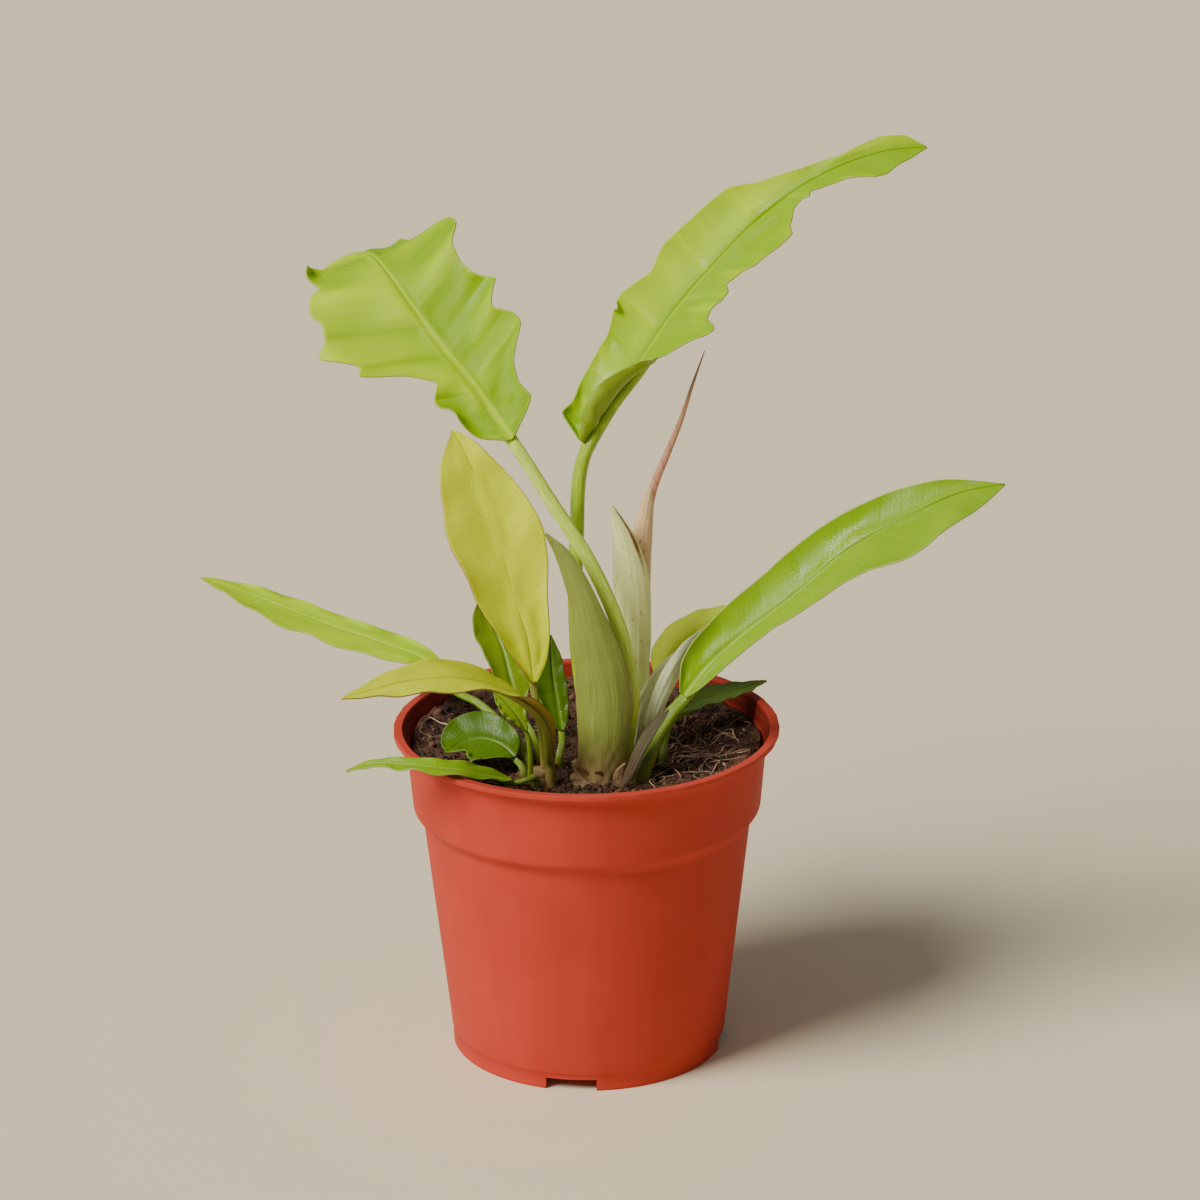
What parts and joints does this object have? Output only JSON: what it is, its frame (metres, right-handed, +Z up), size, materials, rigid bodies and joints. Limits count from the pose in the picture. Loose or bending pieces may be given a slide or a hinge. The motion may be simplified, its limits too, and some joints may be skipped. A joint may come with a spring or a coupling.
{
  "type": "potted philodendron",
  "caption": "Young philodendron with lobed and lance-shaped lime-green leaves, pale stem sheaths and a rolled new leaf, in a round tapered nursery pot of terracotta-coloured plastic.",
  "frame": {"origin": "the pot's axis at the floor it stands on, which is also the middle of the plan of the whole plant", "axes": "+Z up along the pot's axis; -Y towards the front, where the yellow leaf leans out; +X to the right, where the long glossy leaf leans out"},
  "size_m": [0.2521, 0.1462, 0.2864],
  "materials": {
    "pot_plastic": "satin",
    "soil_mix": "matte",
    "crown_tissue": "matte",
    "lime_leaf": "gloss",
    "green_leaf": "gloss",
    "dark_leaf": "gloss",
    "yellow_leaf": "satin",
    "stalk_green": "gloss",
    "pale_sheath_tissue": "satin",
    "dry_sheath_tissue": "matte",
    "new_leaf_tissue": "satin"
  },
  "bodies": {
    "root": {"pot": "pot_plastic", "soil": "soil_mix", "crown": "crown_tissue", "side_crown": "crown_tissue", "lobed_left_blade": "lime_leaf", "lobed_left_stalk": "stalk_green", "lobed_right_blade": "lime_leaf", "lobed_right_stalk": "stalk_green", "long_left_blade": "lime_leaf", "long_left_stalk": "stalk_green", "long_right_blade": "green_leaf", "long_right_stalk": "stalk_green", "pale_back_blade": "green_leaf", "pale_back_stalk": "stalk_green", "over_rim_blade": "green_leaf", "over_rim_stalk": "stalk_green", "upright_blade": "yellow_leaf", "upright_stalk": "stalk_green", "yellow_blade": "yellow_leaf", "yellow_stalk": "stalk_green", "dark_back_blade": "dark_leaf", "dark_back_stalk": "stalk_green", "dark_middle_blade": "dark_leaf", "dark_middle_stalk": "stalk_green", "low_right_blade": "dark_leaf", "low_right_stalk": "stalk_green", "low_left_blade": "dark_leaf", "low_left_stalk": "stalk_green", "tiny_blade": "dark_leaf", "tiny_stalk": "stalk_green", "front_sheath": "pale_sheath_tissue", "pale_sheath": "pale_sheath_tissue", "side_sheath_front": "pale_sheath_tissue", "side_sheath_back": "pale_sheath_tissue", "dry_sheath": "dry_sheath_tissue", "spike_sheath": "dry_sheath_tissue", "new_leaf_spike": "new_leaf_tissue"}
  },
  "joints": []
}
